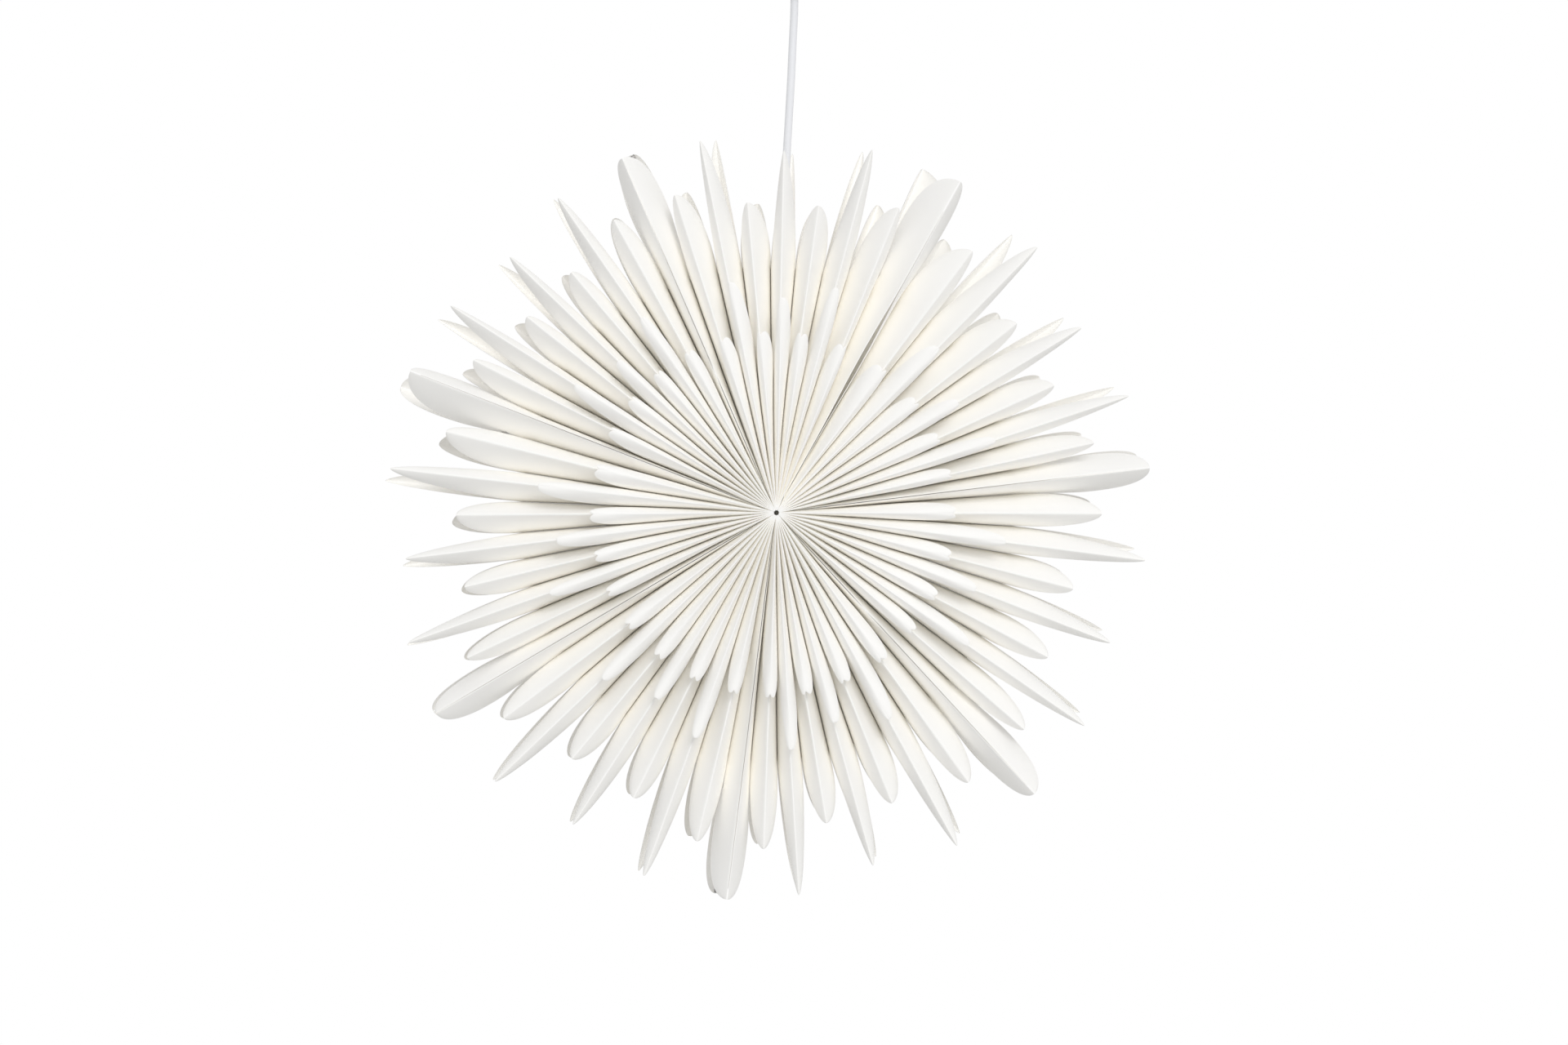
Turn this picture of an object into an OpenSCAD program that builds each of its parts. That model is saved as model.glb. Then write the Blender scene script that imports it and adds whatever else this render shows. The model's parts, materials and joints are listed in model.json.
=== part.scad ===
// Hanging star lamp of folded paper: seven glued segments of hollow envelopes round a small bulb.
// Millimetres, +Z up, the star faces -Y, and the origin is on the ceiling.

/* [Star] */
// Depth below the ceiling at which the star's centre hangs
star_drop = 460; // [440:1:900]
// Sideways distance of the star's centre from the ceiling fitting
star_offset = -18; // [-30:1:0]
// Half the star's depth at the ridges of the long petals
long_depth = 50; // [44:1:56]
// Half the star's depth at the ridges of the short petals
short_depth = 62; // [58:1:80]
// Thickness of the paper
paper_t = 0.2; // [0.15:0.01:0.25]

/* [Long petals] */
// Radius to the tips of the wide seam petals
seam_tip = 303; // [280:1:340]
// Radius to the tips of the slender petals beside the middle
slender_tip = 299; // [280:1:340]
// Radius to the tip of the slender petal in the middle of a segment
middle_tip = 287; // [270:1:340]
// Radius to the tips of the broad petals at the ends of a segment
outer_broad_tip = 262; // [240:1:300]
// Radius to the tips of the broad petals beside the middle
inner_broad_tip = 246; // [235:1:300]
// Radius at which neighbouring long petals part
long_notch = 195; // [190:1:215]

/* [Short petals] */
// Radius to the tips of the short petals over the slender ones
short_long_tip = 185; // [160:1:190]
// Radius to the tip of the short petal in the middle of a segment
short_middle_tip = 170; // [155:1:190]
// Radius to the tips of the short petals over the broad ones
short_broad_tip = 141; // [125:1:160]
// Radius at which neighbouring short petals part
short_notch = 84; // [76:1:95]

/* [Centre] */
// Radius of the small hole where all the ridges meet
centre_hole = 4; // [3:0.5:8]
// Radius of the space for the bulb, at half the star's depth
cavity_r = 62; // [60:1:70]
// Half the height of the glued strips, across the star's depth
glue_half = 3; // [2:0.5:5]
// Thickness of the glue between two sheets of paper
glue_t = 0.1; // [0.05:0.01:0.15]
// Gap between the two edges of paper along a seam
seam_gap = 0.5; // [0.2:0.1:1.5]
// Share by which the petals reach farther on the longer side of the star
lopsided = 0.021; // [0:0.001:0.03]
// Direction of the longer side, in degrees from +X
lopsided_at = 204; // [0:1:359]

/* [Bulb and holder] */
// Diameter of the bulb's globe
globe_d = 45; // [40:1:50]
// Length of the bulb from its tip to the end of its cap
bulb_l = 78; // [74:1:84]
// Outer diameter of the lamp holder
holder_d = 27; // [26:0.5:32]
// Length of the lamp holder
holder_l = 38; // [36:1:42]
// Clearance between the holder and the paper that hangs on it
holder_gap = 0.3; // [0.2:0.05:0.5]
// Diameter of the lamp cord
cord_d = 6.2; // [5.6:0.1:6.4]

/* [Ceiling fitting] */
// Diameter of the ceiling cup
cup_d = 92; // [86:1:110]
// Height of the ceiling cup
cup_h = 45; // [42:1:46]
// Wall of the ceiling cup
cup_wall = 1.6; // [1.2:0.1:2.4]
// Distance between the two screw holes of the ceiling strap
strap_holes = 50; // [40:1:56]
// Diameter of the screw holes of the ceiling strap
strap_hole_d = 4.5; // [3.5:0.1:5]
// Width of the ceiling strap
strap_w = 16; // [14:1:24]

/* [Press studs] */
// Diameter of a press stud
stud_d = 7; // [5:0.5:9]
// Thickness of a closed press stud
stud_t = 3; // [2.4:0.1:4]

/* [Hidden] */

paper_colour = [0.96, 0.955, 0.94];
shade_colour = [0.93, 0.915, 0.89];

// Where the seams lie in front, in degrees, as this star was glued and hung
seam_at = [6.8, 60.8, 113.4, 158.8, 210.5, 262.8, 312.7];
// How far each seam's back edge is turned from its front edge
seam_twist = [1.4, 4.8, -2.5, 2.5, 0.3, -0.5, 1.9];
// How far the middle arms of each segment lean round, in front and behind
front_lean = [-2.7, 1.6, 0, 2.4, 0.3, -2.3, -1];
back_lean = [-3.8, -2.2, 1.5, 2.4, 0.9, -1.1, -1];
segments = len(seam_at);

// The shares of a segment's angle: an end sheet at each end, and seven arms by turns broad and slender
sheet_share = 2.9;
broad_share = 6.8;
slender_share = 6.1;
arms = 7;
function is_broad(i) = i % 2 == 0;
function is_longer(i) = i == 1 || i == arms - 2;
function arm_share(i) = is_broad(i) ? broad_share : slender_share;
function share_before(j) = j == 0 ? sheet_share : share_before(j - 1) + arm_share(j - 1);
whole_share = share_before(arms) + sheet_share;
function edge_share(j) = share_before(j) / whole_share;
function arm_middle(i) = (edge_share(i) + edge_share(i + 1)) / 2;

// Angle at a share u of the way through segment k, in front (face 0) and behind (face 1)
function seam_angle(k, face) = let (n = k % segments) seam_at[n] + face * seam_twist[n] + (k == n ? 0 : 360);
function lean(k, face) = face == 0 ? front_lean[k] : back_lean[k];
function arm_angle(k, u, face) = seam_angle(k, face) * (1 - u) + seam_angle(k + 1, face) * u
    + lean(k, face) * 4 * u * (1 - u);
function edge_angle(k, j) = let (u = edge_share(j)) (arm_angle(k, u, 0) + arm_angle(k, u, 1)) / 2;

function long_tip(i) = [outer_broad_tip, slender_tip, inner_broad_tip, middle_tip,
    inner_broad_tip, slender_tip, outer_broad_tip][i];
function short_tip(i) = [short_broad_tip, short_long_tip, short_broad_tip, short_middle_tip,
    short_broad_tip, short_long_tip, short_broad_tip][i];

star_x = star_offset;
star_z = -star_drop;
function reach(a) = 1 + lopsided * cos(a - lopsided_at);
function polar(r, a, y) = [star_x + r * reach(a) * cos(a), y, star_z + r * reach(a) * sin(a)];
function along(a) = [-sin(a), 0, cos(a)];

// A straight fold line of a flank runs from the ridge at radius r to the glued edge at radius foot(r)
function foot(r) = r < long_notch ? cavity_r + (r - centre_hole) * foot_slope : r;
function head(r) = centre_hole + (r - cavity_r) / foot_slope;
foot_slope = (long_notch - cavity_r) / (long_notch - centre_hole);

// Each station of a petal is [radius on the ridge, share of the flank's width, inset, flare]. The fold is
// glued to its neighbours from the first station to the second, and free from there to the tip
paper_room = 0.4;
long_inset = paper_t + paper_room;
half_glue = glue_t / 2;
long_start = 10;
function long_stations(tip, f1, f2) = let (free = tip - long_notch) [
    [long_start, 1, long_inset, 0],
    [long_notch, 1, half_glue, 0],
    [long_notch + 0.48 * free, f1, 0, 0],
    [long_notch + 0.87 * free, f2, 0, 0],
    [tip, 0, 0, 0]];
function short_stations(tip) = let (start = head(short_notch), free = tip - start) [
    [centre_hole, 1, half_glue, 0],
    [start, 1, half_glue, 0],
    [start + 0.6 * free, 0.6, 0, 0],
    [tip, 0, 0, 0]];
function longer_short_stations(tip) = let (start = head(short_notch), free = tip - start) [
    [centre_hole, 1, half_glue, 0],
    [start, 1, half_glue, 0],
    [start + 0.28 * free, 0.78, 0, 0],
    [start + 0.78 * free, 0.43, 0, 0],
    [tip, 0, 0, 0]];
function sheet_stations() = let (free = seam_tip - long_notch) [
    [long_start, 1, half_glue, 0],
    [long_notch, 1, half_glue, 0],
    [long_notch + 0.55 * free, 0.97, 0, 0.22],
    [long_notch + 0.9 * free, 0.6, 0, 0.22],
    [seam_tip, 0, 0, 0]];
function broad_stations(tip) = long_stations(tip, 0.84, 0.48);
function slender_stations(tip) = long_stations(tip, 0.62, 0.26);

// Points of one flank: outer and inner ridge, outer and inner edge. way is 1 in front and -1 behind,
// hand is 1 towards the larger angle and -1 towards the smaller. The fold is as deep as its slope needs
function flank_rows(stations, ridge_a, edge_a, depth, way, hand, opening, gap) = [
    for (j = [0:len(stations) - 1]) let (
        s = stations[j],
        q = foot(s[0]),
        slope_q = foot(stations[j == 1 ? 0 : j][0]),
        ridge = polar(s[0], ridge_a, -way * depth) + gap * hand * along(ridge_a),
        glued = polar(q, edge_a, -way * glue_half) - hand * s[2] * along(edge_a),
        wide = hand * s[3] * q * sin(opening) * along(edge_a),
        edge = ridge + s[1] * (glued + wide - ridge),
        slope = atan(slope_q * tan(opening) / (depth - glue_half)),
        apex = paper_t / sin(slope))
    [ridge, ridge + [0, way * apex, 0], edge,
        s[1] == 0 ? ridge + [0, way * apex, 0] : edge - hand * paper_t * along(edge_a)]];

function same(a, b) = norm(a - b) < 0.000001;
function whole(t) = !same(t[0], t[1]) && !same(t[1], t[2]) && !same(t[0], t[2]);
function quad(a, b, c, d) = [for (t = [[a, b, c], [a, c, d]]) if (whole(t)) t];
function turned(tris, flip) = flip ? [for (t = tris) [t[0], t[2], t[1]]] : tris;
function joined(lists) = [for (l = lists) for (t = l) t];

// Skin of a flank: outer face, inner face, inner end and edge. With a strip, the glued edge is left open
function flank_skin(f, with_strip, open_ridge) = let (n = len(f) - 1) joined([
    for (j = [0:n - 1]) joined([
        j == 0
            ? concat(quad(f[1][0], f[1][2], f[0][2], f[0][0]), quad(f[0][3], f[1][3], f[1][1], f[0][1]))
            : concat(quad(f[j][0], f[j + 1][0], f[j + 1][2], f[j][2]),
                quad(f[j][1], f[j][3], f[j + 1][3], f[j + 1][1])),
        j == 0 && with_strip ? [] : quad(f[j][2], f[j + 1][2], f[j + 1][3], f[j][3]),
        open_ridge ? quad(f[j][0], f[j][1], f[j + 1][1], f[j + 1][0]) : []]),
    quad(f[0][0], f[0][2], f[0][3], f[0][1])]);

// Skin of the glued strip, which runs on from the front fold's edge as far as the glue on the back fold's
function across(p) = p + [0, 2 * glue_half - glue_t, 0];
function strip_skin(f) = joined([
    quad(f[0][3], across(f[0][3]), across(f[1][3]), f[1][3]),
    quad(f[0][2], f[1][2], across(f[1][2]), across(f[0][2])),
    quad(f[0][2], across(f[0][2]), across(f[0][3]), f[0][3]),
    quad(f[1][2], f[1][3], across(f[1][3]), across(f[1][2])),
    quad(across(f[0][2]), across(f[1][2]), across(f[1][3]), across(f[0][3]))]);

// One flank of a fold, with the strip on it in front
function half_fold(f, way, hand, open_ridge) = turned(
    concat(flank_skin(f, way == 1, open_ridge), way == 1 ? strip_skin(f) : []), (hand == -1) == (way == 1));

// The front fold (way 1) or the back fold (way -1) of arm i in segment k
function fold(k, i, way, stations, depth) = let (
        opening = (edge_angle(k, i + 1) - edge_angle(k, i)) / 2,
        ridge_a = arm_angle(k, arm_middle(i), way == 1 ? 0 : 1))
    joined([for (hand = [-1, 1]) let (edge_a = edge_angle(k, hand == 1 ? i + 1 : i))
        half_fold(flank_rows(stations, ridge_a, edge_a, depth, way, hand, opening, 0), way, hand, false)]);

// An end sheet's flank in front or behind, from the seam to the glued strip at edge j of segment k
function end_flank(k, j, way) = let (
        hand = j == 0 ? 1 : -1,
        seam = j == 0 ? k : k + 1,
        opening = abs(edge_angle(k, j) - (seam_angle(seam, 0) + seam_angle(seam, 1)) / 2))
    half_fold(flank_rows(sheet_stations(), seam_angle(seam, way == 1 ? 0 : 1), edge_angle(k, j), long_depth,
        way, hand, opening, seam_gap / 2), way, hand, true);

module skin(tris) {
    polyhedron(points = joined(tris), faces = [for (n = [0:len(tris) - 1]) [3 * n, 3 * n + 2, 3 * n + 1]]);
}

// A segment's envelopes are each a front fold with the strips on it and a back fold glued behind them
module long_petals(k) {
    color(paper_colour)
        difference() {
            for (i = [0:arms - 1], way = [1, -1])
                skin(fold(k, i, way,
                    is_broad(i) ? broad_stations(long_tip(i)) : slender_stations(long_tip(i)), long_depth));
            if (k == cord_segment) holder_space();
        }
}

module short_petals(k) {
    color(shade_colour)
        difference() {
            for (i = [0:arms - 1], way = [1, -1])
                skin(fold(k, i, way,
                    is_longer(i) ? longer_short_stations(short_tip(i)) : short_stations(short_tip(i)),
                    short_depth));
            if (k == cord_segment) holder_space();
        }
}

module sheet(k, j) {
    seam = (j == 0 ? k : k + 1) % segments;
    studded = len(search(seam, stud_seams)) > 0;
    color(paper_colour)
        difference() {
            for (way = [1, -1])
                skin(end_flank(k, j, way));
            if (studded) at_stud(seam, -stud_room)
                cylinder(r = stud_d / 2 + 2 * stud_room, h = stud_t + 2 * stud_room, $fn = 10);
        }
}

// The bulb hangs in the middle, straight below the point where the cord leaves the star's cavity
cord_segment = 1;
lamp_x = star_x + 3.5;
globe_r = globe_d / 2;
bulb_cap_r = 7;
bulb_cap_l = 24;
bulb_top = star_z - globe_r + bulb_l;
holder_base = bulb_top - bulb_cap_l + 0.5;
holder_top = holder_base + holder_l;
holder_r = holder_d / 2;
holder_wall = 2;
cap_h = 14.2;
grip_r = 5;
grip_h = 8;
socket_r = bulb_cap_r + 0.4;
cord_r = cord_d / 2;

module at_lamp(z) {
    translate([lamp_x, 0, z]) children();
}

// Room cut in the paper for the holder, its grip and the cord above it
room_sides = 6;
room_corners = 1 / cos(180 / room_sides);
room_top = holder_top - star_z + holder_gap;
module holder_space() {
    at_lamp(star_z)
        cylinder(r = (holder_r + holder_gap) * room_corners, h = room_top, $fn = room_sides);
    at_lamp(star_z)
        cylinder(r = (grip_r + holder_gap) * room_corners, h = room_top + grip_h, $fn = room_sides);
}

module bulb() {
    neck_r = bulb_cap_r + 4;
    neck_z = bulb_l - bulb_cap_l - globe_r;
    color([0.97, 0.97, 0.95])
        at_lamp(star_z)
            rotate_extrude($fn = 64)
                union() {
                    intersection() {
                        circle(r = globe_r);
                        translate([0, -globe_r])
                            square([globe_r, 2 * globe_r]);
                    }
                    polygon([[0, 0], [globe_r * cos(35), globe_r * sin(35)], [neck_r, neck_z - 4],
                        [neck_r, neck_z], [bulb_cap_r, neck_z], [bulb_cap_r, neck_z + bulb_cap_l - 5],
                        [3, neck_z + bulb_cap_l - 1], [3, neck_z + bulb_cap_l], [0, neck_z + bulb_cap_l]]);
                }
}

module holder_body() {
    mouth_h = 6;
    color([0.95, 0.95, 0.94])
        at_lamp(holder_base)
            rotate_extrude($fn = 64)
                polygon([[socket_r, 0], [holder_r - 1, 0], [holder_r, mouth_h], [holder_r, holder_l - cap_h],
                    [socket_r, holder_l - cap_h]]);
}

module contact_block() {
    color([0.9, 0.88, 0.82])
        at_lamp(holder_top - cap_h)
            cylinder(r = holder_r - holder_wall - 0.3, h = 5, $fn = 48);
}

module holder_cap() {
    shoulder = 4;
    roof = 3;
    color([0.95, 0.95, 0.94])
        at_lamp(holder_top - cap_h)
            rotate_extrude($fn = 64)
                polygon([[holder_r - holder_wall, 0], [holder_r, 0], [holder_r, cap_h - shoulder],
                    [holder_r - shoulder, cap_h], [0, cap_h], [0, cap_h - roof],
                    [holder_r - holder_wall - shoulder, cap_h - roof],
                    [holder_r - holder_wall, cap_h - roof - shoulder]]);
}

module holder_grip() {
    color([0.95, 0.95, 0.94])
        at_lamp(holder_top)
            rotate_extrude($fn = 48)
                polygon([[0, 0], [grip_r, 0], [grip_r, grip_h - 2], [cord_r + 0.6, grip_h], [0, grip_h]]);
}

// The cord hangs from the cup's grip and goes down inside the topmost arm
cord_bottom = [lamp_x, 0, holder_top + grip_h];
cord_top = [0, 0, -cup_h - 5];
cord_route = [[-14.5, 0, -365], [-14, 0, -350], [-13.5, 0, -335], [-12.8, 0, -318], [-12, 0, -300],
    [-11, 0, -282], [-10, 0, -264], [-9.2, 0, -246], [-8.4, 0, -228], [-7.6, 0, -210], [-6.8, 0, -192],
    [-6, 0, -175], [-5, 0, -158], [-4, 0, -141], [-3, 0, -124], [-2.2, 0, -108], [-1.5, 0, -92],
    [-0.8, 0, -78], [-0.2, 0, -64]];
cord_sides = 10;

module cord() {
    route = concat([cord_bottom], cord_route, [cord_top]);
    last = len(route) - 1;
    ring = [for (s = [0:cord_sides - 1]) cord_r * [cos(360 * s / cord_sides), sin(360 * s / cord_sides), 0]];
    points = [for (c = route) for (p = ring) c + p];
    sides = [for (n = [0:last - 1]) for (s = [0:cord_sides - 1]) let (e = (s + 1) % cord_sides)
        [n * cord_sides + s, (n + 1) * cord_sides + s, (n + 1) * cord_sides + e, n * cord_sides + e]];
    foot_face = [for (s = [0:cord_sides - 1]) s];
    head_face = [for (s = [cord_sides - 1:-1:0]) last * cord_sides + s];
    color([0.97, 0.97, 0.97])
        polyhedron(points = points, faces = concat(sides, [foot_face, head_face]));
}

cup_r = cup_d / 2;
cup_bottom_r = 24;
cup_edge = 0.5;
hole_r = 5.2;
nut_r = 9;
nut_h = 4;
flange_r = 8;
flange_h = 5;

module cup_grip() {
    color([0.95, 0.95, 0.95])
        translate([0, 0, -cup_h - flange_h])
            rotate_extrude($fn = 48)
                polygon([[0, 0], [cord_r + 0.8, 0], [flange_r, flange_h - 2], [flange_r, flange_h],
                    [hole_r - 0.1, flange_h], [hole_r - 0.1, flange_h + cup_wall + nut_h + 2],
                    [0, flange_h + cup_wall + nut_h + 2]]);
}

module grip_nut() {
    color([0.9, 0.9, 0.9])
        translate([0, 0, -cup_h + cup_wall])
            difference() {
                cylinder(r = nut_r, h = nut_h, $fn = 6);
                translate([0, 0, -1])
                    cylinder(r = hole_r, h = nut_h + 2, $fn = 48);
            }
}

module ceiling_cup() {
    color([0.96, 0.96, 0.96])
        difference() {
            rotate_extrude($fn = 96)
                polygon([[hole_r, -cup_h], [cup_bottom_r, -cup_h], [cup_r, -cup_h + 28], [cup_r, -cup_edge],
                    [cup_r - cup_wall, -cup_edge], [cup_r - cup_wall, -cup_h + 28 + 0.6],
                    [cup_bottom_r - 0.6, -cup_h + cup_wall], [hole_r, -cup_h + cup_wall]]);
            for (way = [-1, 1])
                translate([way * (cup_r - cup_wall - 1), 0, side_screw_z])
                    rotate([0, way * 90, 0])
                        cylinder(r = side_screw_r + 0.2, h = cup_wall + 2, $fn = 32);
        }
}

strap_t = 2;
tab_t = 3;
strap_half = cup_r - cup_wall - 0.3;
tab_h = 12;
side_screw_r = 1.5;
side_screw_z = -8;

module ceiling_strap() {
    color([0.75, 0.76, 0.77])
        difference() {
            intersection() {
                union() {
                    translate([-strap_half, -strap_w / 2, -strap_t])
                        cube([2 * strap_half, strap_w, strap_t]);
                    for (way = [-1, 1])
                        translate([way * (strap_half - tab_t / 2) - tab_t / 2, -strap_w / 2, -tab_h])
                            cube([tab_t, strap_w, tab_h]);
                }
                translate([0, 0, -tab_h])
                    cylinder(r = strap_half, h = tab_h, $fn = 96);
            }
            for (way = [-1, 1]) {
                translate([way * strap_holes / 2, 0, -strap_t - 1])
                    cylinder(d = strap_hole_d, h = strap_t + 2, $fn = 32);
                translate([way * (strap_half - tab_t - 1), 0, side_screw_z])
                    rotate([0, way * 90, 0])
                        cylinder(r = side_screw_r + 0.05, h = tab_t + 2, $fn = 32);
            }
        }
}

module cup_screws() {
    head_r = 3;
    head_h = 1.8;
    shank_l = 7;
    color([0.8, 0.8, 0.82])
        for (way = [-1, 1])
            translate([way * cup_r, 0, side_screw_z])
                rotate([0, way * 90, 0]) {
                    cylinder(r = head_r, h = head_h, $fn = 32);
                    translate([0, 0, -shank_l])
                        cylinder(r = side_screw_r, h = shank_l + 1, $fn = 32);
                }
}

// Press studs close the ring of segments at two seams, behind, at the tips of the wide petals
stud_seams = [2, 5];
stud_inset = 2;
stud_room = 0.1;

module at_stud(seam, back) {
    translate(polar(seam_tip - stud_inset, seam_angle(seam, 1), long_depth - stud_t - 1 + back))
        rotate([-90, 0, 0]) children();
}

module press_studs() {
    color([0.42, 0.41, 0.4])
        for (seam = stud_seams)
            at_stud(seam, 0)
                rotate_extrude($fn = 32)
                    polygon([[0, 0.6], [stud_d / 5, 0.6], [stud_d / 5, 0], [stud_d / 2 - 0.6, 0],
                        [stud_d / 2, 0.6], [stud_d / 2, stud_t - 1], [stud_d / 3, stud_t], [0, stud_t]]);
}

long_petals(0);  // long_petals_1
long_petals(1);  // long_petals_2
long_petals(2);  // long_petals_3
long_petals(3);  // long_petals_4
long_petals(4);  // long_petals_5
long_petals(5);  // long_petals_6
long_petals(6);  // long_petals_7
short_petals(0);  // short_petals_1
short_petals(1);  // short_petals_2
short_petals(2);  // short_petals_3
short_petals(3);  // short_petals_4
short_petals(4);  // short_petals_5
short_petals(5);  // short_petals_6
short_petals(6);  // short_petals_7
sheet(0, 0);  // end_sheet_1a
sheet(0, arms);  // end_sheet_1b
sheet(1, 0);  // end_sheet_2a
sheet(1, arms);  // end_sheet_2b
sheet(2, 0);  // end_sheet_3a
sheet(2, arms);  // end_sheet_3b
sheet(3, 0);  // end_sheet_4a
sheet(3, arms);  // end_sheet_4b
sheet(4, 0);  // end_sheet_5a
sheet(4, arms);  // end_sheet_5b
sheet(5, 0);  // end_sheet_6a
sheet(5, arms);  // end_sheet_6b
sheet(6, 0);  // end_sheet_7a
sheet(6, arms);  // end_sheet_7b
press_studs();
bulb();
holder_body();
holder_cap();
contact_block();
holder_grip();
cord();
cup_grip();
grip_nut();
ceiling_cup();
ceiling_strap();
cup_screws();
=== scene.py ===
import json
from math import cos, pi, radians, sin

import bpy
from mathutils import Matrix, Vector


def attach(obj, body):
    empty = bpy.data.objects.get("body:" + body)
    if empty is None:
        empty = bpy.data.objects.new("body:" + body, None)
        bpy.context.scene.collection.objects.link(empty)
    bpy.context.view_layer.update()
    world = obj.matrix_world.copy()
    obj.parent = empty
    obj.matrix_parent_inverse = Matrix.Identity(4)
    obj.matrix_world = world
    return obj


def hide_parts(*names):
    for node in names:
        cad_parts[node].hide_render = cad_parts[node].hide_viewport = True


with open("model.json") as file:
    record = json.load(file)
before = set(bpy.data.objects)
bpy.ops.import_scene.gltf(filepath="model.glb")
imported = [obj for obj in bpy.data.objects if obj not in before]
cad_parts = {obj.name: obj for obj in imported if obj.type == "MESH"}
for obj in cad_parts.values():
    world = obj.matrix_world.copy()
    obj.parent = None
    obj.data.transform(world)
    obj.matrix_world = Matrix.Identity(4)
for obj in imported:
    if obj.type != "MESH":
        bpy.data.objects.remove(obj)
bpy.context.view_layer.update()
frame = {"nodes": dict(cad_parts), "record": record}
mm = 0.001

# The view of the photograph. The star is seen from a long way off, a little from its left and a
# touch from above, so that the petals behind show beside those in front.
view_distance = 9.0
view_left = radians(3.55)
view_above = radians(0.7)
view_width = 1.238
aimed_at = Vector((-0.0083, 0, -0.4684))
towards_camera = Vector((-sin(view_left) * cos(view_above), -cos(view_left) * cos(view_above),
    sin(view_above)))
camera_data = bpy.data.cameras.new("camera")
camera_data.sensor_width = 36
camera_data.lens = camera_data.sensor_width * view_distance / view_width
camera_data.clip_end = 100
camera = bpy.data.objects.new("camera", camera_data)
camera.location = aimed_at + view_distance * towards_camera
camera.rotation_euler = (-towards_camera).to_track_quat("-Z", "Y").to_euler()
bpy.context.scene.collection.objects.link(camera)
bpy.context.scene.camera = camera
bpy.context.scene.view_settings.view_transform = "Standard"


# Lamp cord: two cores in a round white sheath, clamped by the grip on the lamp holder, led up inside
# the topmost petal and out at its tip, and held at the ceiling by the cup's grip.
def plastic(name, colour, roughness, grain_size, grain_depth, tone=0.03):
    """Moulded plastic: a faint change of tone over the piece and the fine grain of the tool."""
    material = bpy.data.materials.new(name)
    material.use_nodes = True
    nodes, links = material.node_tree.nodes, material.node_tree.links
    shader = nodes["Principled BSDF"]
    shader.inputs["Roughness"].default_value = roughness
    place = nodes.new("ShaderNodeTexCoord")
    clouds = nodes.new("ShaderNodeTexNoise")
    clouds.inputs["Scale"].default_value = 35
    tint = nodes.new("ShaderNodeMix")
    tint.data_type = "RGBA"
    tint.inputs["A"].default_value = (*[c * (1 - tone) for c in colour], 1)
    tint.inputs["B"].default_value = (*colour, 1)
    grain = nodes.new("ShaderNodeTexNoise")
    grain.inputs["Scale"].default_value = 1 / grain_size
    grain.inputs["Detail"].default_value = 4
    bump = nodes.new("ShaderNodeBump")
    bump.inputs["Strength"].default_value = 0.4
    bump.inputs["Distance"].default_value = grain_depth
    links.new(place.outputs["Object"], clouds.inputs["Vector"])
    links.new(place.outputs["Object"], grain.inputs["Vector"])
    links.new(clouds.outputs["Fac"], tint.inputs["Factor"])
    links.new(tint.outputs["Result"], shader.inputs["Base Color"])
    links.new(grain.outputs["Fac"], bump.inputs["Height"])
    links.new(bump.outputs["Normal"], shader.inputs["Normal"])
    return material


cord_thickness = 6.2 * mm
cord_bottom = Vector((-14.5, 0, -382)) * mm
cord_top = Vector((0, 0, -50)) * mm
cord_route = [(-14.5, 0, -365), (-14, 0, -350), (-13.5, 0, -335), (-12.8, 0, -318), (-12, 0, -300),
    (-11, 0, -282), (-10, 0, -264), (-9.2, 0, -246), (-8.4, 0, -228), (-7.6, 0, -210), (-6.8, 0, -192),
    (-6, 0, -175), (-5, 0, -158), (-4, 0, -141), (-3, 0, -124), (-2.2, 0, -108), (-1.5, 0, -92),
    (-0.8, 0, -78), (-0.2, 0, -64)]
cord_points = [cord_bottom] + [Vector(p) * mm for p in cord_route] + [cord_top]
cord_line = bpy.data.curves.new("lamp_cord", "CURVE")
cord_line.dimensions = "3D"
cord_line.bevel_depth = cord_thickness / 2
cord_line.bevel_resolution = 6
cord_line.use_fill_caps = True
cord_spline = cord_line.splines.new("BEZIER")
cord_spline.bezier_points.add(len(cord_points) - 1)
cord_spline.resolution_u = 4
for knot, point in zip(cord_spline.bezier_points, cord_points):
    knot.co = point
    knot.handle_left_type = knot.handle_right_type = "AUTO"
lamp_cord = bpy.data.objects.new("lamp_cord", cord_line)
bpy.context.scene.collection.objects.link(lamp_cord)
cord_line.materials.append(plastic("cord_sheath", (0.86, 0.87, 0.9), 0.42, 3 * mm, 0.05 * mm))
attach(lamp_cord, "root")
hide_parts("cord")


# Long petals: seven segments of seven hollow envelopes of white card, each folded round with a strip
# glued on both sides, and cut at the rim so that its front and its back end in a petal of their own.
star_x = -18 * mm
star_z = -460 * mm
lopsided = 0.021
lopsided_at = radians(204)
centre_hole = 4 * mm
cavity_r = 62 * mm
long_notch = 195 * mm
glue_half = 3 * mm
paper_t = 0.2 * mm
hidden_gap = 0.1 * mm
seam_at = [6.8, 60.8, 113.4, 158.8, 210.5, 262.8, 312.7]
seam_twist = [1.4, 4.8, -2.5, 2.5, 0.3, -0.5, 1.9]
front_lean = [-2.7, 1.6, 0, 2.4, 0.3, -2.3, -1]
back_lean = [-3.8, -2.2, 1.5, 2.4, 0.9, -1.1, -1]
segments = len(seam_at)
sheet_share, broad_share, slender_share = 2.9, 6.8, 6.1
arm_shares = [broad_share, slender_share] * 3 + [broad_share]
arms = len(arm_shares)
whole_share = sum(arm_shares) + 2 * sheet_share
edge_shares = [(sheet_share + sum(arm_shares[:j])) / whole_share for j in range(arms + 1)]
FRONT, BACK = 0, 1


def seam_angle(k, face):
    n = k % segments
    return radians(seam_at[n] + face * seam_twist[n] + 360 * (k // segments))


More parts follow.
